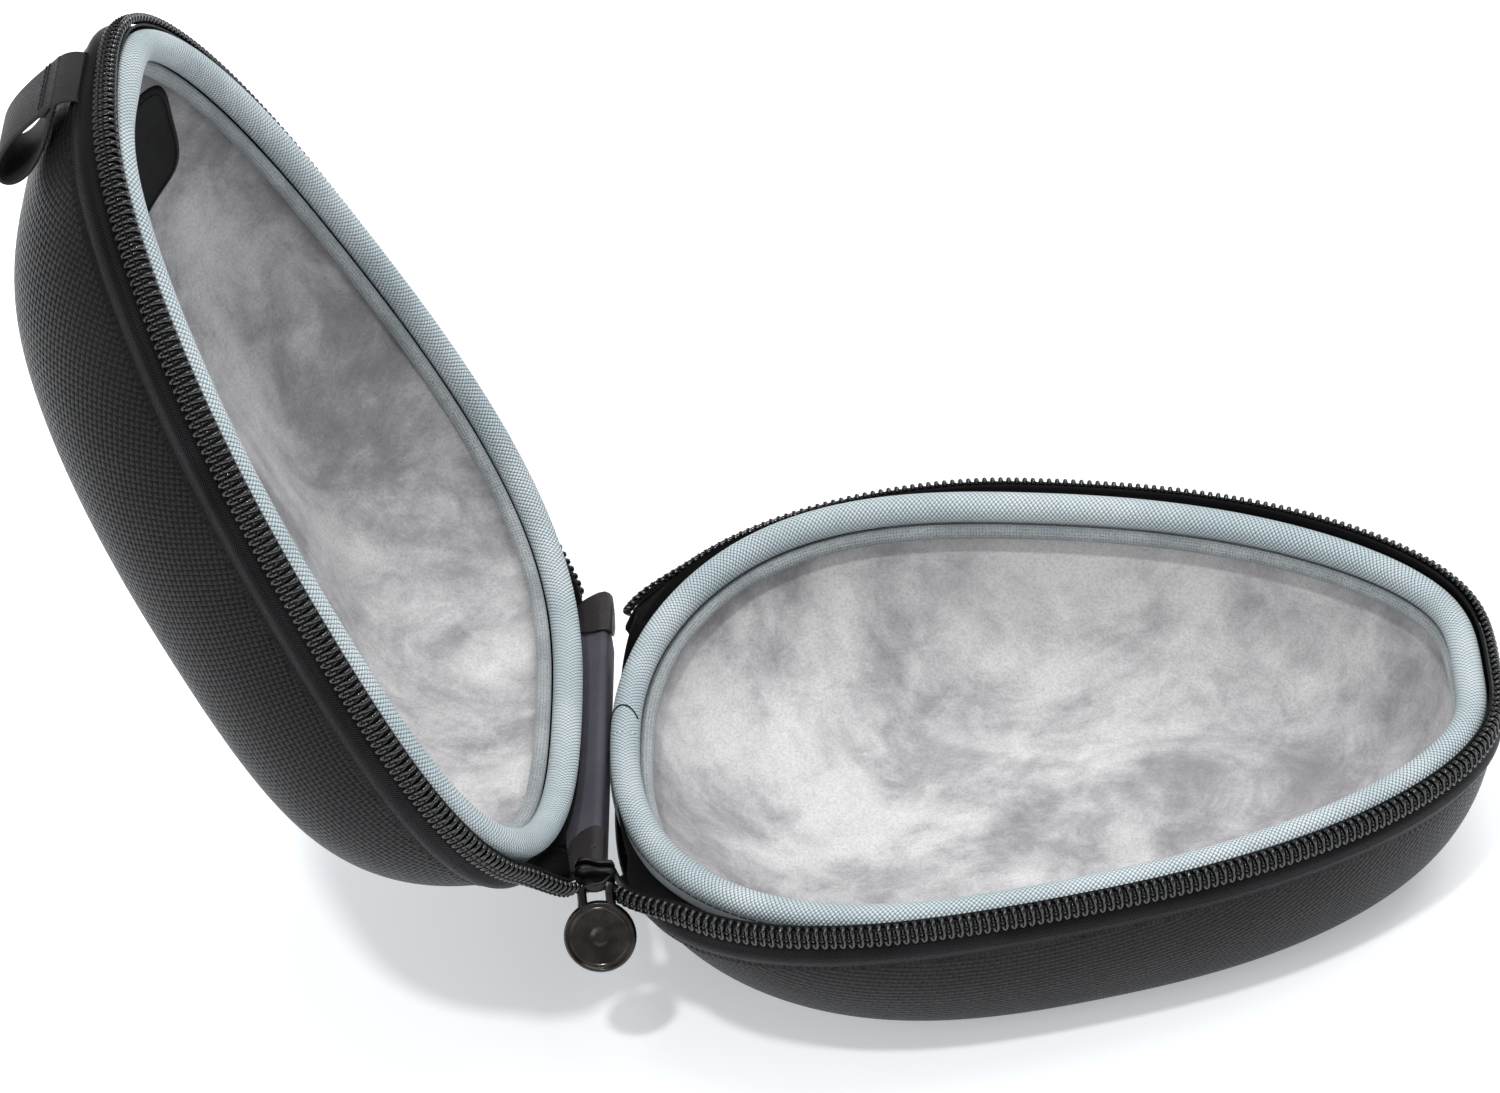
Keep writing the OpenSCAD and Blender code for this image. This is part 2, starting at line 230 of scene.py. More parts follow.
def full_turn(count):
    """Angles once round, without the last, which would repeat the first."""
    return np.linspace(0, 2 * np.pi, count, endpoint=False)


def arc_lengths(points, axis):
    """Length along a line of points, from its start."""
    step = np.linalg.norm(np.diff(points, axis=axis), axis=-1)
    zero = np.zeros_like(np.take(step, [0], axis=axis))
    return np.cumsum(np.concatenate([zero, step], axis=axis), axis=axis)


def sweep_rim(name, side, section, place, stations, start=0, end=360):
    """Sweeps a section of [n, d] points round the rim. Its UV is the length round and across."""
    section = np.asarray(section, float)
    around = end - start == 360
    # A full ring ends on a second copy of its first section, so that the UV has no jump.
    a = np.linspace(start, end, stations)
    profile = np.concatenate([section, section[:1]])
    points = place(side, a[:, None], profile[None, :, 0], profile[None, :, 1])
    u = arc_lengths(place(side, a, profile[0, 0], profile[0, 1]), 0)
    v = arc_lengths(profile, 0)
    uv = np.stack(np.broadcast_arrays(u[:, None], v[None, :]), -1)
    faces = grid_faces(stations, len(profile))
    if not around:
        count = len(profile)
        faces.append(tuple(range(count - 1)))
        faces.append(tuple(reversed(range((stations - 1) * count, stations * count - 1))))
    obj = add_mesh(name, points, faces, uv, side)
    recalc_normals(obj, merge=True)
    return obj


def smooth_line(points, count):
    """A Catmull-Rom line of count points through the given ones."""
    p = np.asarray(points, float)
    p = np.concatenate([2 * p[:1] - p[1:2], p, 2 * p[-1:] - p[-2:-1]])
    s = np.linspace(0, len(p) - 3, count)
    i = np.minimum(s.astype(int), len(p) - 4)
    t = (s - i)[:, None]
    a, b, c, e = p[i], p[i + 1], p[i + 2], p[i + 3]
    return 0.5 * (2 * b + (c - a) * t + (2 * a - 5 * b + 4 * c - e) * t ** 2
                  + (3 * b - a - 3 * c + e) * t ** 3)


def thick_profile(line, thickness):
    """A closed band around an open line in the plane, with the line as its outer side."""
    t = np.gradient(line, axis=0)
    t /= np.linalg.norm(t, axis=1, keepdims=True)
    inner = line - thickness * np.stack([t[:, 1], -t[:, 0]], 1)
    return np.concatenate([line, inner[::-1]])


def tube(path, radii, sides):
    """Points and faces of a closed tube along a path, with a radius at each point of it."""
    path = np.asarray(path, float)
    t = np.gradient(path, axis=0)
    t /= np.linalg.norm(t, axis=1, keepdims=True)
    up = np.array([0.31, 0.17, 0.94])
    x = np.cross(t, up)
    x /= np.linalg.norm(x, axis=1, keepdims=True)
    y = np.cross(t, x)
    b = full_turn(sides)
    ring = x[:, None] * np.cos(b)[None, :, None] + y[:, None] * np.sin(b)[None, :, None]
    verts = path[:, None] + ring * np.asarray(radii)[:, None, None]
    faces = grid_faces(len(path), sides, loop_cols=True)
    faces.append(tuple(reversed(range(sides))))
    faces.append(tuple(range((len(path) - 1) * sides, len(path) * sides)))
    return verts.reshape(-1, 3), faces


def join_parts(parts):
    """One set of points and faces from several."""
    verts, faces, count = [], [], 0
    for part_verts, part_faces in parts:
        verts.append(np.asarray(part_verts))
        faces += [tuple(count + i for i in face) for face in part_faces]
        count += len(part_verts)
    return np.concatenate(verts), faces


def add_parts(name, parts, side=BASE, offset=0.0):
    """One mesh object from several sets of points and faces."""
    verts, faces = join_parts(parts)
    obj = add_mesh(name, verts + offset, faces, side=side)
    recalc_normals(obj)
    return obj


# ---- Materials ------------------------------------------------------------

class Graph:
    """A material's nodes, with short names for the ones that this scene uses."""

    def __init__(self, name):
        self.material = bpy.data.materials.new(name)
        self.material.use_nodes = True
        self.nodes = self.material.node_tree.nodes
        self.links = self.material.node_tree.links
        self.bsdf = self.nodes["Principled BSDF"]
        self.coords = self.nodes.new("ShaderNodeTexCoord")

    def set(self, socket, value):
        if isinstance(value, bpy.types.NodeSocket):
            self.links.new(value, socket)
        elif isinstance(value, tuple) and len(value) == 3 and socket.type == "RGBA":
            socket.default_value = (*value, 1)
        else:
            socket.default_value = value

    def math(self, operation, *values):
        node = self.nodes.new("ShaderNodeMath")
        node.operation = operation
        for socket, value in zip(node.inputs, values):
            self.set(socket, value)
        return node.outputs[0]

    def plus(self, a, b):
        return self.math("ADD", a, b)

    def times(self, a, b):
        return self.math("MULTIPLY", a, b)

    def muladd(self, a, b, c):
        return self.math("MULTIPLY_ADD", a, b, c)

    def uv(self):
        node = self.nodes.new("ShaderNodeSeparateXYZ")
        self.links.new(self.coords.outputs["UV"], node.inputs[0])
        return node.outputs[0], node.outputs[1]

    def noise(self, scale, detail=3.0, rough=0.55, stretch=None, source="Object", distort=0.0):
        node = self.nodes.new("ShaderNodeTexNoise")
        node.inputs["Scale"].default_value = scale
        node.inputs["Detail"].default_value = detail
        node.inputs["Roughness"].default_value = rough
        node.inputs["Distortion"].default_value = distort
        vector = self.coords.outputs[source]
        if stretch:
            mapping = self.nodes.new("ShaderNodeMapping")
            mapping.inputs["Scale"].default_value = stretch
            self.links.new(vector, mapping.inputs["Vector"])
            vector = mapping.outputs[0]
        self.links.new(vector, node.inputs["Vector"])
        return node.outputs["Fac"]

    def ramp(self, value, low, high):
        """value's part between low and high, stretched to run from 0 to 1."""
        node = self.nodes.new("ShaderNodeMapRange")
        node.interpolation_type = "SMOOTHSTEP"
        self.set(node.inputs["Value"], value)
        node.inputs["From Min"].default_value = low
        node.inputs["From Max"].default_value = high
        return node.outputs[0]

    def mix(self, share, first, second):
        node = self.nodes.new("ShaderNodeMix")
        node.data_type = "RGBA"
        self.set(node.inputs[0], share)
        self.set(node.inputs[6], first)
        self.set(node.inputs[7], second)
        return node.outputs[2]

    def bump(self, height, distance, below=None):
        """A bump of so many millimetres, over the one given as below."""
        node = self.nodes.new("ShaderNodeBump")
        node.inputs["Distance"].default_value = distance * MM
        node.inputs["Strength"].default_value = 1.0
        self.set(node.inputs["Height"], height)
        if below is not None:
            self.links.new(below, node.inputs["Normal"])
        return node.outputs[0]

    def weave(self, u, v, pitch):
        """Height of a plain weave, 0 to 1, with threads a pitch apart both ways."""
        su = self.math("SINE", self.times(u, math.pi / pitch))
        sv = self.math("SINE", self.times(v, math.pi / pitch))
        au, av = self.math("ABSOLUTE", su), self.math("ABSOLUTE", sv)
        over = self.math("GREATER_THAN", self.times(su, sv), 0.0)
        warp = self.thread(au, av)
        weft = self.thread(av, au)
        under = self.math("SUBTRACT", 1.0, over)
        return self.plus(self.times(over, warp), self.times(under, weft))

    def thread(self, across, along):
        """Height of one thread: round across it, and lower where it dips under the next."""
        crown = self.math("POWER", across, 0.6)
        return self.times(crown, self.muladd(along, 0.5, 0.5))

    def done(self, color, rough, normal=None, **constants):
        self.set(self.bsdf.inputs["Base Color"], color)
        self.set(self.bsdf.inputs["Roughness"], rough)
        if normal is not None:
            self.links.new(normal, self.bsdf.inputs["Normal"])
        names = {"sheen": "Sheen Weight", "sheen_rough": "Sheen Roughness",
                 "sheen_tint": "Sheen Tint", "metal": "Metallic", "specular": "Specular IOR Level",
                 "coat": "Coat Weight", "coat_rough": "Coat Roughness",
                 "glow": "Emission Color", "glow_strength": "Emission Strength"}
        for key, value in constants.items():
            self.set(self.bsdf.inputs[names[key]], value)
        return self.material


def nylon_material():
    """Black ballistic nylon in a coarse basket weave."""
    g = Graph("ballistic_nylon")
    u, v = g.uv()
    wobble = g.times(g.noise(60.0, 2.0), 1.2)
    u, v = g.plus(u, wobble), g.plus(v, wobble)
    height = g.weave(u, v, 1.7)
    ply = g.math("ABSOLUTE", g.math("SINE", g.times(g.plus(u, v), 7.5)))
    height = g.muladd(ply, 0.16, height)
    patch = g.ramp(g.noise(35.0, 4.0), 0.3, 0.7)
    shade = g.mix(patch, (0.006, 0.0052, 0.006), (0.0115, 0.0102, 0.0115))
    # Painted shade: the weave's hollows are painted near black, and the raised threads keep their own
    # tone.
    color = g.mix(g.ramp(height, 0.15, 1.0), (0.0008, 0.0008, 0.001), shade)
    rough = g.muladd(g.noise(240.0), 0.12, 0.28)
    return g.done(color, rough, g.bump(height, 1.0), specular=0.12)


def tape_material():
    """Herringbone zipper tape: twill stripes that lean alternately each way."""
    g = Graph("zipper_tape")
    u, v = g.uv()
    stripe = g.math("PINGPONG", v, 1.7)
    twill = g.math("SINE", g.times(g.plus(u, stripe), math.pi / 0.8))
    height = g.math("ABSOLUTE", twill)
    edge = g.ramp(stripe, 0.0, 0.25)
    height = g.times(height, g.muladd(edge, 0.5, 0.5))
    shade = g.mix(g.ramp(g.noise(50.0), 0.3, 0.7), (0.009, 0.0085, 0.0095), (0.017, 0.016, 0.018))
    # Painted shade: the twill's grooves, and the lines where the stripes turn, are painted near black.
    color = g.mix(height, (0.001, 0.001, 0.0012), shade)
    return g.done(color, 0.38, g.bump(height, 0.5), specular=0.12)


def coil_material():
    """Glossy black nylon filament with faint drawing marks."""
    g = Graph("zipper_coil")
    marks = g.noise(900.0, 2.0)
    rough = g.muladd(marks, 0.1, 0.06)
    color = g.mix(marks, (0.0006, 0.0006, 0.0007), (0.002, 0.0019, 0.002))
    return g.done(color, rough, g.bump(marks, 0.02), specular=0.7)


def roll_material():
    """Light blue-grey nylon, woven on the diagonal, with painted highlights on the crossings and
    painted shade between them.
    """
    g = Graph("roll_fabric")
    u, v = g.uv()
    wobble = g.times(g.noise(90.0, 2.0), 0.9)
    u = g.plus(u, wobble)
    cross_u = g.plus(u, g.times(v, 0.75))
    cross_v = g.math("SUBTRACT", u, g.times(v, 0.95))
    height = g.weave(cross_u, cross_v, 1.35)
    fuzz = g.noise(1500.0, 2.0)
    soft = g.muladd(fuzz, 0.2, height)
    tone = g.ramp(g.noise(28.0, 4.0), 0.32, 0.68)
    # Painted light: a shaded and a lit copy of the cloth, the shaded one in the weave's hollows and the
    # lit one on its crossings.
    low = g.mix(tone, (0.10, 0.14, 0.165), (0.15, 0.195, 0.22))
    high = g.mix(tone, (0.50, 0.585, 0.615), (0.64, 0.71, 0.735))
    color = g.mix(g.ramp(height, 0.1, 0.8), low, high)
    pucker = g.noise(1.0, 2.0, stretch=(0.16, 0.03, 1.0), source="UV")
    normal = g.bump(soft, 0.45, g.bump(pucker, 0.5))
    return g.done(color, 0.62, normal, sheen=0.08, sheen_rough=0.4, specular=0.3)


def flange_material():
    """The roll's stitched seam allowance: the same cloth in shade, with a sunken thread line."""
    g = Graph("roll_flange")
    u, v = g.uv()
    height = g.weave(g.plus(u, v), g.math("SUBTRACT", u, v), 0.7)
    thread = g.math("ABSOLUTE", g.math("SUBTRACT", v, 0.9))
    line = g.ramp(thread, 0.1, 0.4)
    stitch = g.ramp(g.math("PINGPONG", u, 1.4), 0.1, 0.45)
    sunk = g.math("MAXIMUM", line, g.math("SUBTRACT", 1.0, stitch))
    # Painted shade: the roll's cloth is painted darker as shade, and darker again in the weave's
    # hollows.
    cloth = g.mix(height, (0.13, 0.15, 0.165), (0.27, 0.305, 0.33))
    color = g.mix(sunk, (0.012, 0.012, 0.014), cloth)
    return g.done(color, 0.7, g.bump(height, 0.2, g.bump(sunk, 0.3)), sheen=0.15)


def welt_material():
    """Narrow grey binding with a fuzzy edge."""
    g = Graph("welt_fabric")
    u, v = g.uv()
    height = g.weave(u, v, 0.9)
    fuzz = g.noise(1900.0, 4.0)
    mixed = g.muladd(height, 0.35, fuzz)
    tone = g.ramp(g.noise(70.0), 0.3, 0.7)
    # Painted shade: the weave's hollows and the low spots of the fuzz are painted dark.
    color = g.mix(g.ramp(mixed, 0.25, 1.0), (0.10, 0.11, 0.12),
                  g.mix(tone, (0.30, 0.33, 0.34), (0.42, 0.45, 0.46)))
    return g.done(color, 0.85, g.bump(mixed, 0.35), sheen=0.35, sheen_rough=0.4)


def plush_material():
    """Short velvet pile, with broad smears where it has been brushed either way, their sheen and shade
    painted as lighter and darker patches.
    """
    g = Graph("plush")
    smear = g.noise(13.0, 6.0, 0.62, stretch=(1.0, 1.3, 0.9), distort=0.6)
    blotch = g.noise(70.0, 6.0, 0.72, distort=0.5)
    pile = g.noise(1300.0, 3.0, 0.7)
    mottle = g.muladd(blotch, 0.3, g.times(smear, 0.8))
    # Painted sheen and shade: the brushed smears are painted as lighter and darker patches, lower where
    # darker.
    tone = g.ramp(mottle, 0.4, 0.68)
    brushed = g.mix(tone, (0.25, 0.243, 0.255), (0.64, 0.628, 0.63))
    # Painted shade: the pile is painted darker where it is low, between its tufts.
    color = g.mix(g.ramp(pile, 0.32, 0.62), g.mix(0.25, brushed, (0.12, 0.115, 0.12)), brushed)
    nap = g.bump(mottle, 1.6)
    return g.done(color, 0.95, g.bump(pile, 0.3, nap), sheen=0.22, sheen_rough=0.35,
                  sheen_tint=(0.95, 0.95, 1.0), specular=0.1)


def cloth_material(name, dark, light, rough, pitch, depth=0.12, specular=0.3):
    """Smooth woven or coated cloth in two close tones."""
    g = Graph(name)
    u, v = g.uv()
    height = g.weave(u, v, pitch)
    grain = g.noise(420.0, 3.0)
    tone = g.ramp(g.noise(45.0, 4.0), 0.3, 0.7)
    color = g.mix(tone, dark, light)
    # Painted shade: the weave's hollows are painted towards the darker tone.
    color = g.mix(g.muladd(height, 0.4, 0.6), dark, color)
    mixed = g.muladd(grain, 0.4, height)
    gloss = g.muladd(grain, 0.18, rough - 0.09)
    return g.done(color, gloss, g.bump(mixed, depth), specular=specular)


def webbing_material():
    """Fine dark twill webbing."""
    g = Graph("webbing")
    u, v = g.uv()
    ribs = g.times(g.muladd(v, 0.45, u), math.pi / 0.62)
    rib = g.math("ABSOLUTE", g.math("SINE", ribs))
    grain = g.noise(500.0, 3.0)
    height = g.muladd(grain, 0.3, rib)
    tone = g.ramp(g.noise(40.0, 4.0), 0.3, 0.7)
    shade = g.mix(tone, (0.024, 0.022, 0.0235), (0.036, 0.0335, 0.035))
    # Painted shade: the hollows between the ribs are painted darker.
    color = g.mix(rib, (0.012, 0.011, 0.012), shade)
    return g.done(color, 0.55, g.bump(height, 0.22), specular=0.22)


def metal_material(name, dark, light, rough):
    """Dark bronze plating with soft wear and fine grain."""
    g = Graph(name)
    wear = g.ramp(g.noise(160.0, 5.0, 0.6), 0.35, 0.7)
    grain = g.noise(1400.0, 2.0)
    color = g.mix(wear, dark, light)
    gloss = g.muladd(wear, 0.12, g.muladd(grain, 0.1, rough))
    return g.done(color, gloss, g.bump(grain, 0.02), metal=0.85, specular=0.5,
                  coat=0.25, coat_rough=0.15)


def thread_material(name, color):
    """Twisted sewing thread."""
    g = Graph(name)
    grain = g.noise(2500.0, 2.0)
    return g.done(g.mix(grain, color, tuple(0.5 * c for c in color)), 0.6,
                  g.bump(grain, 0.05), specular=0.18)


def floor_material():
    """Pale studio floor."""
    g = Graph("studio_floor")
    tone = g.noise(3.0, 2.0)
    return g.done(g.mix(tone, (0.80, 0.815, 0.83), (0.83, 0.84, 0.85)), 0.6, specular=0.1,
                  glow=(0.93, 0.97, 1.0), glow_strength=0.34)


def dress(obj, material, body=None, replaces=()):
    """Gives a piece its material, its body and the CAD nodes it stands for."""
    obj.data.materials.clear()
    obj.data.materials.append(material)
    if body:
        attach(obj, body)
    if replaces:
        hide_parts(*replaces)
    return obj


# ---- Shells ---------------------------------------------------------------

def bowl_grid(side, t, square, start_d, wall_rows, floor_rows, stations, crown=0.0):
    """Points and UV of a bowl from its rim to the middle of its floor."""
    a = np.linspace(0, 360, stations)
    v = np.linspace(wall_start(side, start_d), 90, wall_rows)
    wall = shell_points(side, a[:, None], v[None, :], t, square)
    edge = wall[:, -1]
    middle = np.array([SHELL[side][3] + SHELL[side][4], 0, edge[0, 2]])
    share = np.linspace(1, 0.02, floor_rows + 1)[1:]
    floor = middle + (edge[:, None] - middle) * share[None, :, None]
    floor[..., 2] -= side * crown * (1 - share[None, :] ** 2)
    points = np.concatenate([wall, floor], 1)
    # The cloth's own grid: distance from the floor's middle, in the direction seen from it.
    from_middle = arc_lengths(points[:, ::-1], 1)[:, ::-1]
    direction = points[:, 0, :2] - middle[:2]
    direction /= np.linalg.norm(direction, axis=1, keepdims=True)
    return points, direction[:, None] * from_middle[..., None]


def add_bowl(name, side, points, uv):
    """A bowl's mesh, closed at the middle of its floor."""
    rows, cols = points.shape[:2]
    faces = grid_faces(rows, cols)
    faces.append(tuple(i * cols + cols - 1 for i in range(rows - 1)))
    obj = add_mesh(name, points, faces, uv, side)
    recalc_normals(obj, merge=True)
    return obj


def make_cover(side, material):
    """The woven outer cover, with the turned edge at its seam and a closed floor."""
    stations, wall, floor = 361, 44, 8
    outer, uv = bowl_grid(side, 0.0, HINGE_SQUARE, SEAM_D, wall, floor, stations)
    a = np.linspace(0, 360, stations)
    # A fold rolls the cover's edge in over the tape.
    turn = np.radians(np.linspace(90, -60, 8))
    fold = [rim_points(side, a, 0.55 + 0.55 * math.sin(b), SEAM_D - 0.1 - 0.55 * math.cos(b),
                       HINGE_SQUARE) for b in turn]
    lip = rim_points(side, a, -0.2, SEAM_D + 2.5, HINGE_SQUARE)
    fold = np.stack([lip] + fold[::-1], 1)
    points = np.concatenate([fold, outer[:, 1:]], 1)
    edge_uv = uv[:, :1] * np.linspace(1.05, 1.0, fold.shape[1])[None, :, None]
    uv = np.concatenate([edge_uv, uv[:, 1:]], 1)
    name = BODY[side]
    obj = add_bowl(f"{name}_shell", side, points, uv)
    return dress(obj, material, name, [f"{name}_cover", f"{name}_core"])


def make_lining(side, material):
    """The plush lining, domed a little on its floor and soft where it meets the wall."""
    stations, wall, floor = 241, 40, 14
    points, uv = bowl_grid(side, LINING_T, ROLL_SQUARE[side], 11.4, wall, floor, stations,
                           crown=1.4)
    # Shallow hollows in the pile, where the foam under it gives.
    rows, cols = points.shape[:2]
    a = np.linspace(0, 2 * np.pi, rows)[:, None]
    k = np.linspace(0, 1, cols)[None, :]
    ripple = (0.5 * np.sin(5 * a + 4 * k) * np.sin(3 * np.pi * k)
              + 0.35 * np.sin(11 * a - 6 * k) * np.sin(2 * np.pi * k))
    points[..., 2] -= side * 0.5 * ripple * np.sin(np.pi * k)
    name = BODY[side]
    obj = add_bowl(f"{name}_plush", side, points, uv)
    dress(obj, material, name, [f"{name}_lining"])


# ---- Rim ------------------------------------------------------------------

def round_section(n, d, r, count):
    """A circle of [n, d] points."""
    b = np.radians(360 * (np.arange(count) + 0.5) / count)
    return np.stack([n + r * np.cos(b), d + r * np.sin(b)], 1)


def make_roll(side, material):
    """The padded roll round a mouth."""
    name = BODY[side]
    obj = sweep_rim(f"{name}_padded_roll", side, round_section(ROLL_N, ROLL_D, ROLL_R, 28),
                    roll_points, 421)
    dress(obj, material, name, [f"{name}_roll", f"{name}_roll_cord"])


def make_flange(side, material):
    """The roll's seam allowance, sewn to the facing on the roll's outer side."""
    line = smooth_line([[-2.3, 4.9], [-1.85, 6.2], [-1.55, 7.5], [-1.5, 8.4]], 9)
    section = thick_profile(line, 0.45)
    name = BODY[side]
    obj = sweep_rim(f"{name}_roll_flange", side, section, roll_points, 361)
    return dress(obj, material, name)


def make_welt(side, material):
    name = BODY[side]
    obj = sweep_rim(f"{name}_narrow_welt", side, round_section(WELT_N, WELT_D, WELT_R, 16),
                    welt_points, 361)
    return dress(obj, material, name, [f"{name}_welt"])


def make_facing(side, material):
    """Black strip that runs up behind the coil, over to the roll and down behind the lining."""
    stations, cols = 361, 14
    a = np.linspace(0, 360, stations)
    at_zip = smooth_step((from_hinge(a) - 27) / 8)[:, None]
    outer = (at_zip * zip_points(side, a, -0.9, 2.6)
             + (1 - at_zip) * rim_points(side, a, -0.9, 2.6, HINGE_SQUARE))
    inner = roll_points(side, a, ROLL_N + 2.0, 8.5)
    share = np.linspace(0, 1, cols)[None, :, None]
    points = outer[:, None] + (inner - outer)[:, None] * share
    sag = np.sin(np.pi * share[..., 0]) * 1.6
    points[..., 2] += side * sag
    foot = rim_points(side, a, -1.4, SEAM_D + 2.0, HINGE_SQUARE)
    knee = rim_points(side, a, -1.2, 7.5, HINGE_SQUARE)
    lining_top = roll_points(side, a, ROLL_N + 0.6, 12.4)
    points = np.concatenate([foot[:, None], knee[:, None], points, lining_top[:, None]], 1)
    u = np.broadcast_to(arc_lengths(outer, 0)[:, None], points.shape[:2])
    v = arc_lengths(points, 1)
    name = BODY[side]
    obj = add_mesh(f"{name}_black_facing", points, grid_faces(stations, points.shape[1]),
                   np.stack([u, v], -1), side)
    recalc_normals(obj, merge=True)
    return dress(obj, material, name, [f"{name}_facing"])


def make_tape(side, material):
    """Zipper tape: flat behind the coil, then bulging out to the shell's seam."""
    line = smooth_line([[-0.7, 1.0], [-0.6, 3.2], [-0.2, 5.6], [1.2, 7.3], [2.0, 9.2],
                        [2.05, 11.0], [1.3, 12.7], [0.3, 13.8]], 22)
    name = BODY[side]
    obj = sweep_rim(f"{name}_tape", side, thick_profile(line, 0.6), zip_points, 321,
                    ZIP_START - 3, 363 - ZIP_START)
    return dress(obj, material, name, [f"{name}_zipper_tape"])


TOOTH_PITCH = 2.34


def make_coil(side, material, cord_material):
    """The nylon coil, one loop of filament for each tooth."""
    fine = np.linspace(ZIP_START, 360 - ZIP_START, 4001)
    length = arc_lengths(zip_points(side, fine, 1.0, 1.0), 0)
    offset = 0.0 if side == BASE else TOOTH_PITCH / 2
    count = int((length[-1] - offset) / TOOTH_PITCH)
    # One loop as [along, out, down, radius]: a thick tip, a leg, a bend and the leg back.
    loop = smooth_line([[0.15, 0.1, 1.5, 0.55], [-0.2, 0.8, 0.85, 0.78], [-0.4, 1.75, 1.3, 0.68],
                        [-0.52, 2.2, 2.6, 0.46], [-0.55, 2.25, 4.4, 0.42], [-0.42, 2.15, 5.6, 0.42],
                        [0.05, 2.05, 6.1, 0.42], [0.52, 2.1, 5.6, 0.42], [0.62, 2.1, 4.4, 0.42],
                        [0.6, 1.95, 2.8, 0.42], [0.55, 1.3, 1.9, 0.42]], 19)
    parts = []
    for k in range(count):
        s = offset + (k + 0.5) * TOOTH_PITCH
        a = np.interp(s + loop[:, 0], length, fine)
        parts.append(tube(zip_points(side, a, loop[:, 1], loop[:, 2]), loop[:, 3], 7))
    name = BODY[side]
    obj = add_parts(f"{name}_coil_loops", parts, side)
    dress(obj, material, name, [f"{name}_zipper_coil"])
    # The cord that the loops are wound on, and the two rows of sewing that hold them.
    b = full_turn(14)
    core = np.stack([0.9 + 0.8 * np.cos(b), 3.2 + 1.9 * np.sin(b)], 1)
    cord = sweep_rim(f"{name}_coil_cord", side, core, zip_points, 321, ZIP_START, 360 - ZIP_START)
    dress(cord, cord_material, name)
    s = np.linspace(0.5, length[-1] - 0.5, 2600)
    a = np.interp(s, length, fine)
    parts = []
    for row, phase in ((3.2, 0.0), (4.5, 1.2)):
        rise = 0.22 * np.cos(2 * np.pi * s / TOOTH_PITCH + phase)
        parts.append(tube(zip_points(side, a, 2.45 + rise, row), np.full(len(s), 0.24), 5))
    sewing = add_parts(f"{name}_coil_sewing", parts, side)
    return dress(sewing, cord_material, name)


def make_roll_seam(material):
    """The thread where the ends of the base's roll overlap, at the middle of the hinge."""
    b = np.radians(np.linspace(-150, 10, 26))
    a = 4.0 + 2.6 * np.cos(np.linspace(-1.5, 1.5, 26))
    radius = ROLL_R + 0.08
    path = roll_points(BASE, a, ROLL_N + radius * np.cos(b), ROLL_D + radius * np.sin(b))
    obj = add_parts("base_roll_seam", [tube(path, np.full(26, 0.26), 7)])
    return dress(obj, material, "base")


# ---- Hinge ----------------------------------------------------------------

def hinge_point(r, s, y):
    """A point on the cloth over the hinge line, s along it from the base's side."""
    turn = math.radians(OPEN_ANGLE)
    s, y = np.broadcast_arrays(np.asarray(s, float), y)
    bend = np.clip(s / r, 0, turn)
    below = np.minimum(s, 0)
    beyond = np.maximum(s - r * turn, 0)
    x = HINGE_X + r * np.cos(bend) - beyond * math.sin(turn)
    z = BASE_DEPTH + r * np.sin(bend) + below + beyond * math.cos(turn)
    return np.stack([x, y, z], -1)


def hinge_sheet(name, r, thickness, s_grid, y_grid, material, nodes):
    """A cloth piece over the hinge, bent round it at the lid's open angle."""
    outer = hinge_point(r, s_grid, y_grid)
    inner = hinge_point(r - thickness, s_grid * (r - thickness) / r, y_grid)
    rows, cols = outer.shape[:2]
    count = rows * cols
    top = grid_faces(rows, cols)
    under = [tuple(reversed(f)) for f in grid_faces(rows, cols, first=count)]
    ring = ([k for k in range(cols)] + [i * cols + cols - 1 for i in range(1, rows)]
            + [(rows - 1) * cols + k for k in range(cols - 2, -1, -1)]
            + [i * cols for i in range(rows - 2, 0, -1)])
    rim = [(ring[i], ring[(i + 1) % len(ring)], count + ring[(i + 1) % len(ring)], count + ring[i])
           for i in range(len(ring))]
    uv = np.stack([y_grid, s_grid], -1)
    obj = add_mesh(name, np.concatenate([outer, inner]),
                   top + under + rim, np.concatenate([uv, uv]))
    recalc_normals(obj)
    dress(obj, material, None, nodes)
    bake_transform(obj)


def make_panel(material):
    """The cloth over the hinge, which reaches 12 mm down each shell."""
    s = np.linspace(-12, 3.3 + 12, 60)[:, None]
    y = np.linspace(-PANEL_W / 2, PANEL_W / 2, 70)[None, :]
    s, y = np.broadcast_arrays(s, y)
    hinge_sheet("hinge_cloth", 1.7, 0.8, s, y, material,
                ["hinge_panel"])


def make_tab(end, material):
    """A rounded tab over one end of the zipper."""
    rings, spokes = 12, 64
    b = np.radians(np.linspace(0, 360, spokes))
    share = np.linspace(0.02, 1, rings)[None, :]
    round_s = np.sign(np.cos(b)) * np.abs(np.cos(b)) ** 0.8
    round_y = np.sign(np.sin(b)) * np.abs(np.sin(b)) ** 0.9
    away = np.clip(0.5 + 0.5 * end * round_y[:, None] * share, 0, 1)
    s = 4.2 + (8.0 + 3.6 * away) * round_s[:, None] * share
    y = end * (PANEL_W / 2 + 1.0) + 8.6 * round_y[:, None] * share
    name = "hinge_tab_near" if end < 0 else "hinge_tab_far"
    hinge_sheet(f"{name}_cloth", 2.7, 0.6, s, y, material, [name])


# ---- Slider and puller ----------------------------------------------------

SLIDER_POS = np.array([HINGE_X + 0.5, -PANEL_W / 2 - 10.9, BASE_DEPTH + 1.5])
PIVOT_OUT = 4.2
DISC_DROP = 14.0
DISC_R = 9.7
DISC_T = 2.4
BAIL_W = 7.4
PULLER_LEAN = 30
BEVEL_RINGS = 4
DISC_RINGS, DISC_SPOKES = 72, 96


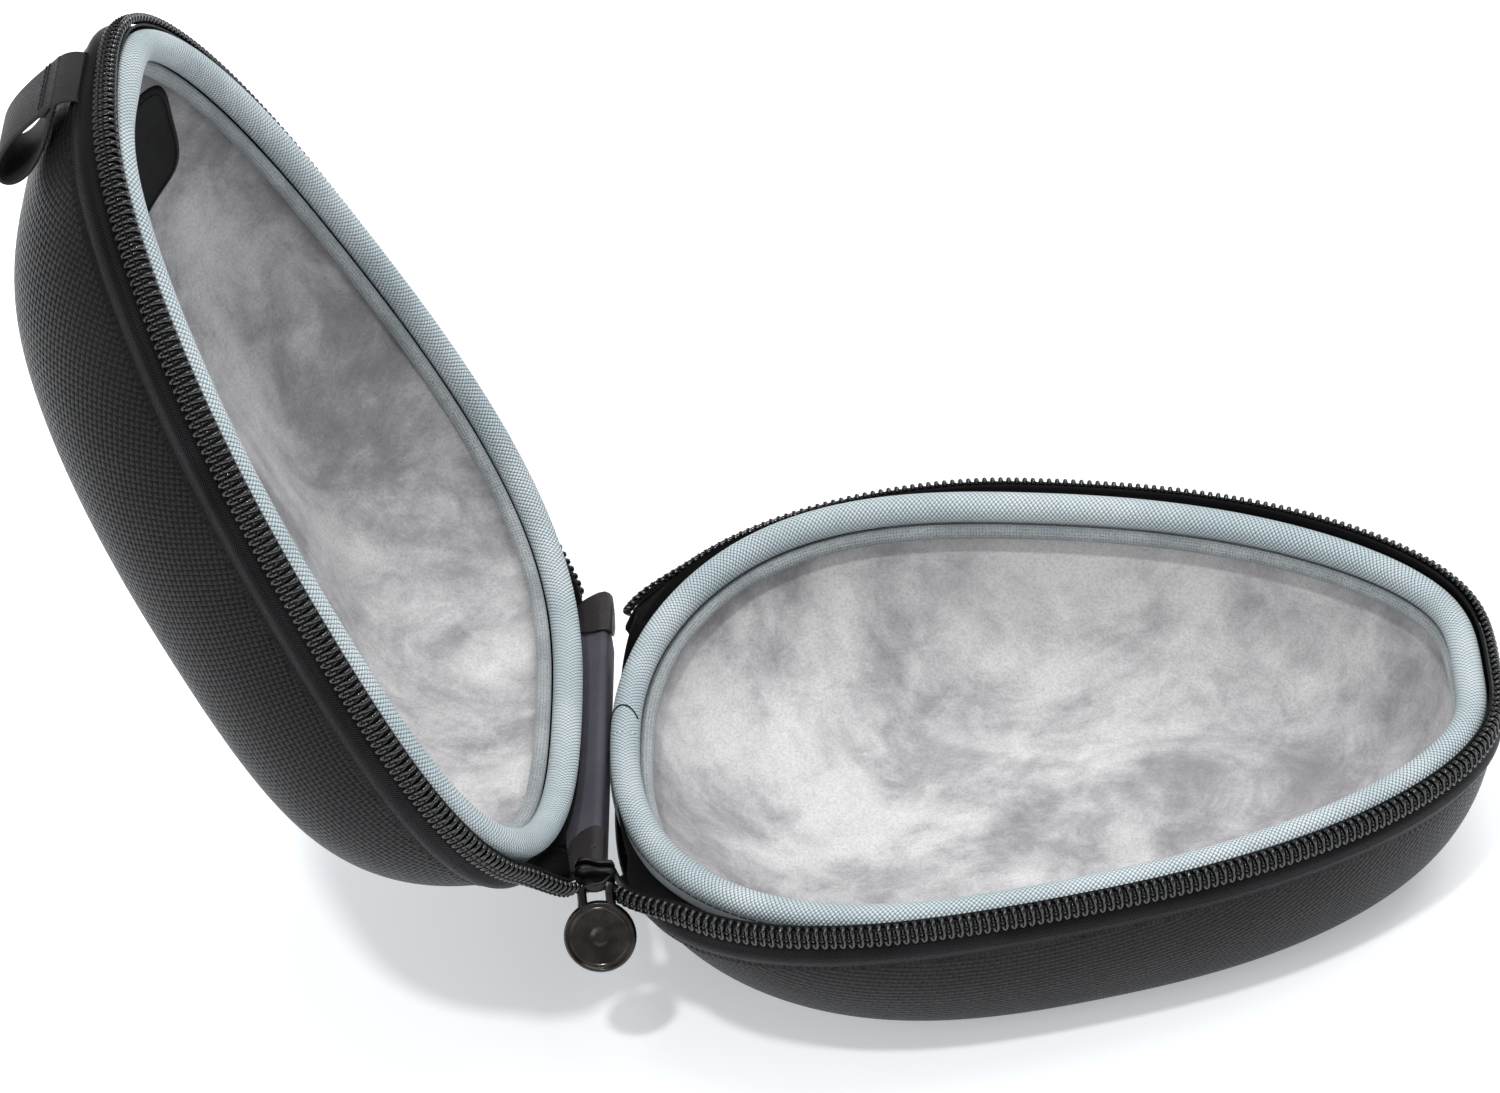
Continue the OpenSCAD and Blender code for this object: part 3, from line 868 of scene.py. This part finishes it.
def extrude_outline(loop, y0, y1, bevel):
    """A plate between y0 and y1 over an [x, z] outline, with rounded edges."""
    loop = np.asarray(loop, float)
    centre = loop.mean(0)
    t = np.roll(loop, -1, 0) - np.roll(loop, 1, 0)
    t /= np.linalg.norm(t, axis=1, keepdims=True)
    inward = np.stack([-t[:, 1], t[:, 0]], 1)
    if ((centre - loop) * inward).sum() < 0:
        inward = -inward
    rings = []
    for b in np.linspace(0, np.pi / 2, BEVEL_RINGS):
        rings.append((bevel * (1 - math.sin(b)), y0 + bevel * (1 - math.cos(b))))
    for b in np.linspace(np.pi / 2, 0, BEVEL_RINGS):
        rings.append((bevel * (1 - math.sin(b)), y1 - bevel * (1 - math.cos(b))))
    points = []
    for inset, y in rings:
        p = loop + inward * inset
        points.append(np.stack([p[:, 0], np.full(len(p), y), p[:, 1]], 1))
    points = np.concatenate(points)
    count = len(loop)
    faces = grid_faces(len(rings), count, loop_cols=True)
    faces.append(tuple(range(count)))
    faces.append(tuple(reversed(range((len(rings) - 1) * count, len(rings) * count))))
    return points, faces


def slider_outline():
    """The slider's plan: broad at its mouth, narrow at its tail, as [x, z]."""
    right = [[-6.4, 0.0], [-6.3, 2.3], [-5.2, 4.2], [-3.0, 4.6], [-0.8, 4.1], [1.5, 3.2], [4.0, 3.0],
             [5.8, 2.6], [6.4, 1.4], [6.5, 0.0]]
    upper = smooth_line(right, 30)
    lower = upper[-2:0:-1] * [1, -1]
    return np.concatenate([upper, lower]) * [0.82, 1.0]


def make_slider(material):
    """Two plates, the post between them and the arched bridge that holds the puller."""
    parts = [extrude_outline(slider_outline(), 0.9, 2.3, 0.4),
             extrude_outline(slider_outline(), -2.3, -0.9, 0.4)]
    post = smooth_line([[-3.6, 0], [-2.6, 1.2], [-0.6, 1.1], [0.4, 0]], 12)
    post = np.concatenate([post, post[-2:0:-1] * [1, -1]])
    parts.append(extrude_outline(post, -1.4, 1.4, 0.1))
    # The bridge stands out from the outer plate, so its y is negative.
    path = smooth_line([[-4.2, -1.9, 0], [-3.6, -3.2, 0], [-2.2, -4.9, 0], [0, -5.5, 0],
                        [2.2, -4.9, 0], [3.6, -3.2, 0], [4.2, -1.9, 0]], 25)
    b = full_turn(12)
    t = np.gradient(path, axis=0)
    t /= np.linalg.norm(t, axis=1, keepdims=True)
    side = np.array([0, 0, 1.0])
    normal = np.cross(t, side)
    round_c = np.sign(np.cos(b)) * np.abs(np.cos(b)) ** 0.6
    round_s = np.sign(np.sin(b)) * np.abs(np.sin(b)) ** 0.6
    ring = (path[:, None] + 1.5 * round_c[None, :, None] * side
            + 0.55 * round_s[None, :, None] * normal[:, None])
    parts.append((ring.reshape(-1, 3), grid_faces(len(path), 12, loop_cols=True)))
    obj = add_parts("slider_casting", parts, offset=SLIDER_POS)
    return dress(obj, material, "base", ["slider_body"])


def disc_height(r):
    """Height of the disc's face at radius r: a double rim, then a dished middle."""
    rim = 0.95 * np.exp(-((r - DISC_R + 0.75) / 0.55) ** 4)
    inner_rim = 0.6 * np.exp(-((r - DISC_R + 2.05) / 0.34) ** 4)
    dish = 0.45 * np.clip(r / (DISC_R - 2.6), 0, 1) ** 2
    boss = 0.42 * np.exp(-(r / 2.3) ** 4)
    return DISC_T / 2 - 0.95 + np.maximum(np.maximum(rim, inner_rim), dish + boss)


def disc_face(direction):
    """One face of the disc, as points and faces."""
    radii = np.linspace(0.05, DISC_R, DISC_RINGS)
    b = full_turn(DISC_SPOKES)
    height = disc_height(radii)[:, None] * np.ones(DISC_SPOKES)
    fall = np.clip((DISC_R - radii) / 0.35, 0, 1)[:, None]
    height = 0.35 + (height - 0.35) * np.sqrt(1 - (1 - fall) ** 2)
    x = radii[:, None] * np.cos(b)
    z = radii[:, None] * np.sin(b)
    points = np.stack([x, direction * height, z], -1).reshape(-1, 3)
    faces = grid_faces(DISC_RINGS, DISC_SPOKES, loop_cols=True)
    faces.append(tuple(range(DISC_SPOKES)))
    return points, faces


def make_puller(material):
    """One casting: a square bail that runs into a disc with a double rim and a dished face."""
    front, front_faces = disc_face(-1)
    back, back_faces = disc_face(1)
    count = len(front)
    outer = count - DISC_SPOKES
    edge = []
    for k in range(DISC_SPOKES):
        m = (k + 1) % DISC_SPOKES
        edge.append((outer + k, outer + m, count + outer + m, count + outer + k))
    disc = (np.concatenate([front, back]) + [0, 0, -DISC_DROP],
            front_faces + [tuple(count + i for i in f) for f in back_faces] + edge)
    half, reach = BAIL_W / 2, -(DISC_DROP - DISC_R + 1.4)
    path = smooth_line([[-half - 0.25, 0, reach], [-half - 0.05, 0, -4.4], [-half, 0, -1.4],
                        [-half + 0.35, 0, -0.35], [-half + 1.4, 0, 0], [0, 0, 0],
                        [half - 1.4, 0, 0], [half - 0.35, 0, -0.35], [half, 0, -1.4],
                        [half + 0.05, 0, -4.4], [half + 0.25, 0, reach]], 60)
    thick = np.interp(np.abs(path[:, 0]), [0, half - 1.2, half], [0.84, 0.95, 1.3])
    bail = tube(path, thick, 12)
    verts, faces = join_parts([disc, bail])
    c, s = math.cos(math.radians(PULLER_LEAN)), math.sin(math.radians(PULLER_LEAN))
    verts = np.stack([verts[:, 0], c * verts[:, 1] + s * verts[:, 2],
                      c * verts[:, 2] - s * verts[:, 1]], 1)
    verts = verts + SLIDER_POS - [0, PIVOT_OUT, 0]
    obj = add_mesh("puller_casting", verts, faces)
    recalc_normals(obj)
    return dress(obj, material, "puller", ["puller"])


# ---- Handle and label -----------------------------------------------------

HANDLE_LEN, HANDLE_GAP, STRAP_T, SEWN_LEN = 28, 5.0, 1.3, 5
HANDLE_N, HANDLE_D, HANDLE_LEAN = 4.2, 17.0, 30
LOOP_TAPER = 1.4


def teardrop(length, bulge, root, count):
    """A loop as [along, across] that narrows to the seam."""
    s = np.linspace(0, 2 * np.pi, count)
    along = length * (1 - np.cos(s)) / 2
    across = bulge * np.sin(s) * np.abs(np.sin(s / 2)) ** LOOP_TAPER
    across += np.sign(np.pi - s) * root * (1 + np.cos(s)) / 2
    return np.stack([along, across], 1)


def handle_frame(points):
    """Puts points drawn as [along, across, y] on the lid's front seam."""
    at = rim_points(LID, 180.0, HANDLE_N, HANDLE_D, HINGE_SQUARE)
    lean = math.radians(90 + HANDLE_LEAN)
    c, s = math.cos(lean), math.sin(lean)
    x = at[0] + points[..., 0] * c - points[..., 1] * s
    z = at[2] + points[..., 0] * s + points[..., 1] * c
    return np.stack([x, points[..., 2], z], -1)


def strap_band(outer, inner, half_width):
    """Sweeps a flat band with rounded edges along a line given by its two faces."""
    middle, half = (outer + inner) / 2, (outer - inner) / 2
    section, radius, edge_sides = [], 0.5, 5
    for k in range(edge_sides):
        b = math.pi * k / (edge_sides - 1)
        section.append((math.cos(b), half_width - radius + radius * math.sin(b)))
    for k in range(edge_sides):
        b = math.pi * k / (edge_sides - 1)
        section.append((-math.cos(b), -half_width + radius - radius * math.sin(b)))
    # The two rounded edges, joined, make the section across the width.
    first, second = section[:edge_sides], section[edge_sides:]
    across = np.array(first + second)
    points = middle[:, None] + half[:, None] * across[None, :, :1]
    y = np.broadcast_to(across[None, :, 1], points.shape[:2])
    points = np.concatenate([points, y[..., None]], -1)
    u = arc_lengths(middle, 0)[:, None] * np.ones(len(across))
    uv = np.stack([u, y], -1)
    return points, uv


def make_handle(material, thread):
    """A folded webbing loop whose two ends are sewn together at the lid's seam."""
    count = 121
    outer = teardrop(HANDLE_LEN, HANDLE_GAP + STRAP_T, 0.9, count)
    t = np.gradient(outer, axis=0)
    t[0], t[-1] = [0.3, 1.0], [0.3, -1.0]
    t /= np.linalg.norm(t, axis=1, keepdims=True)
    inner = outer + np.minimum(STRAP_T, 0.9 + 0.02 * np.arange(count))[:, None] * \
        np.stack([t[:, 1], -t[:, 0]], 1)
    near_root = outer[:, 0] < SEWN_LEN
    inner[:, 1] = np.where(near_root, np.sign(np.linspace(1, -1, count)) * 0.04, inner[:, 1])
    keep = slice(3, count - 3)
    points, uv = strap_band(outer[keep], inner[keep], STRAP_W / 2 - 0.2)
    rows, cols = points.shape[:2]
    faces = grid_faces(rows, cols, loop_cols=True)
    faces.append(tuple(range(cols)))
    faces.append(tuple(reversed(range((rows - 1) * cols, rows * cols))))
    obj = add_mesh("handle_webbing", handle_frame(points), faces, uv, LID)
    recalc_normals(obj)
    dress(obj, material, "handle", ["handle_strap"])
    tail = smooth_line([[1.4, 0.0], [-0.4, 0.4], [-2.0, 1.5], [-3.2, 3.0], [-4.2, 5.0]], 16)
    points, uv = strap_band(tail + [0.0, 0.9], tail - [0.0, 0.9], STRAP_W / 2 - 0.2)
    rows, cols = points.shape[:2]
    root = add_mesh("handle_sewn_end", handle_frame(points),
                    grid_faces(rows, cols, loop_cols=True), uv, LID)
    recalc_normals(root)
    dress(root, material, "lid")
    parts = []
    for row in (3.4, 4.6):
        y_face = np.interp(row, outer[:count // 2, 0], outer[:count // 2, 1])
        for face in (-1, 1):
            for y in np.arange(-STRAP_W / 2 + 2, STRAP_W / 2 - 2, 2.1):
                path = [[row, face * (y_face - 0.15), y], [row, face * (y_face + 0.12), y + 0.25],
                        [row, face * (y_face + 0.12), y + 1.2], [row, face * (y_face - 0.15), y + 1.45]]
                parts.append(tube(handle_frame(smooth_line(path, 8)), [0.2] * 8, 6))
    stitches = add_parts("handle_stitches", parts, LID)
    dress(stitches, thread, "handle")


# Middle of the label as [a, v], and the steps in a and v from there to its side and its end.
LABEL_MIDDLE, LABEL_SIDE, LABEL_END = (128.2, 39.4), (2.2, 16.4), (-7.0, 8.5)


def label_points(x, y, t):
    """Points on the lid's lining, x and y each from -1 to 1 across the label."""
    a = LABEL_MIDDLE[0] + LABEL_SIDE[0] * x + LABEL_END[0] * y
    v = LABEL_MIDDLE[1] + LABEL_SIDE[1] * x + LABEL_END[1] * y
    return shell_points(LID, a, v, LINING_T + t, ROLL_SQUARE[LID])


def label_radius(b):
    """Radius of a rectangle with well-rounded corners at angles b."""
    return (np.abs(np.cos(b)) ** 4.5 + np.abs(np.sin(b)) ** 4.5) ** (-1 / 4.5) * 0.98


def make_label(material, thread):
    """A blank woven label with a stitched edge."""
    spokes, rings = 96, 14
    b = full_turn(spokes)
    radius = label_radius(b)
    share = np.linspace(0.02, 1, rings)
    x = share[None] * (radius * np.cos(b))[:, None]
    y = share[None] * (radius * np.sin(b))[:, None]
    edge = np.clip((1 - share) / 0.05, 0, 1) ** 0.5
    top = label_points(x, y, 0.55 + 0.6 * edge[None] * np.ones((spokes, 1)))
    skirt = label_points(x[:, -1:], y[:, -1:], 0.0)
    points = np.concatenate([top, skirt], 1)
    faces = grid_faces(spokes, rings + 1, loop_rows=True)
    faces.append(tuple(i * (rings + 1) for i in range(spokes)))
    width = 26.0
    uv = np.stack([np.concatenate([x, x[:, -1:]], 1), np.concatenate([y, y[:, -1:]], 1)], -1) * width
    obj = add_mesh("blank_label", points, faces, uv, LID)
    recalc_normals(obj)
    dress(obj, material, "lid", ["label_patch"])
    parts = []
    count = 84
    for k in range(count):
        c = 2 * np.pi * (k + np.linspace(0.12, 0.74, 6)) / count
        r = label_radius(c) * 0.9
        lift = 1.15 + 0.22 * np.sin(np.linspace(0, np.pi, 6))
        parts.append(tube(label_points(r * np.cos(c), r * np.sin(c), lift), [0.17] * 6, 5))
    stitches = add_parts("label_stitches", parts, LID)
    dress(stitches, thread, "lid")


# ---- Studio ---------------------------------------------------------------

# The camera's place in metres, its yaw, pitch and roll in radians, and its lens in millimetres.
CAMERA_PLACE = (0.01705, -1.08834, 0.94790)
CAMERA_TURN = (-0.0849, 0.6496, -0.1417)
CAMERA_LENS = 123.18
WORLD_COLOUR, WORLD_STRENGTH = (0.95, 0.975, 1.0, 1), 0.56


def make_studio(material):
    floor = add_mesh("studio_floor", [[-4000, -4000, 0], [4000, -4000, 0], [4000, 4000, 0],
                                      [-4000, 4000, 0]], [(0, 1, 2, 3)])
    floor.data.materials.append(material)
    world = bpy.data.worlds.new("studio")
    bpy.context.scene.world = world
    world.use_nodes = True
    background = world.node_tree.nodes["Background"]
    background.inputs["Color"].default_value = WORLD_COLOUR
    background.inputs["Strength"].default_value = WORLD_STRENGTH
    add_light("soft_sun", "SUN", 1.9, (0.3, 0.2, 1.0)).angle = math.radians(45)
    add_light("crisp_sun", "SUN", 1.3, (-0.1, -0.45, 1.0)).angle = math.radians(4)
    add_light("front_left", "AREA", 5, (-0.85, -1.1, 0.82), (-0.9, -1.1, 0.9)).size = 0.7
    bpy.context.scene.view_settings.view_transform = "Standard"


def add_light(name, kind, energy, towards, place=(0, 0, 0)):
    """A light that stands at a place and shines from the direction of towards."""
    light = bpy.data.lights.new(name, kind)
    light.energy = energy
    obj = bpy.data.objects.new(name, light)
    obj.location = place
    obj.rotation_euler = Vector(towards).to_track_quat("Z", "Y").to_euler()
    bpy.context.collection.objects.link(obj)
    return light


def make_camera():
    """The photograph's viewpoint, with its slight roll."""
    yaw, pitch, roll = CAMERA_TURN
    forward = Vector((math.sin(yaw) * math.cos(pitch), math.cos(yaw) * math.cos(pitch),
                      -math.sin(pitch)))
    right = Vector((math.cos(yaw), -math.sin(yaw), 0))
    up = right.cross(forward)
    camera_x = math.cos(roll) * right + math.sin(roll) * up
    camera_y = -math.sin(roll) * right + math.cos(roll) * up
    data = bpy.data.cameras.new("camera")
    data.sensor_width = 36
    data.lens = CAMERA_LENS
    data.clip_end = 20
    camera = bpy.data.objects.new("camera", data)
    rotation = Matrix((camera_x, camera_y, -forward)).transposed()
    camera.matrix_world = Matrix.Translation(CAMERA_PLACE) @ rotation.to_4x4()
    bpy.context.collection.objects.link(camera)
    bpy.context.scene.camera = camera


def main():
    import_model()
    make_camera()
    nylon, tape, coil = nylon_material(), tape_material(), coil_material()
    roll, flange, welt = roll_material(), flange_material(), welt_material()
    plush = plush_material()
    facing = cloth_material("facing_fabric", (0.0012, 0.001, 0.0012), (0.003, 0.0026, 0.003),
                            0.6, 0.5, specular=0.1)
    panel = cloth_material("hinge_fabric", (0.050, 0.048, 0.062), (0.070, 0.067, 0.085),
                           0.6, 0.45, 0.05, 0.2)
    tab = cloth_material("tab_fabric", (0.020, 0.017, 0.018), (0.030, 0.0255, 0.027),
                         0.4, 0.4, 0.03, 0.2)
    label = cloth_material("label", (0.003, 0.003, 0.0033), (0.007, 0.007, 0.0075),
                           0.42, 0.5, 0.08, 0.2)
    metal = metal_material("gunmetal", (0.012, 0.010, 0.009), (0.030, 0.025, 0.022), 0.16)
    black_metal = metal_material("slider_plating", (0.006, 0.006, 0.0065), (0.016, 0.015, 0.015), 0.28)
    thread = thread_material("black_thread", (0.01, 0.01, 0.011))
    cord = thread_material("coil_core_thread", (0.002, 0.002, 0.0022))
    for side in (BASE, LID):
        make_cover(side, nylon)
        make_lining(side, plush)
        make_roll(side, roll)
        make_flange(side, flange)
        make_welt(side, welt)
        make_facing(side, facing)
        make_tape(side, tape)
        make_coil(side, coil, cord)
    make_roll_seam(thread)
    make_panel(panel)
    for end in (-1, 1):
        make_tab(end, tab)
    make_slider(black_metal)
    make_puller(metal)
    make_handle(webbing_material(), thread)
    make_label(label, thread)
    make_studio(floor_material())


main()
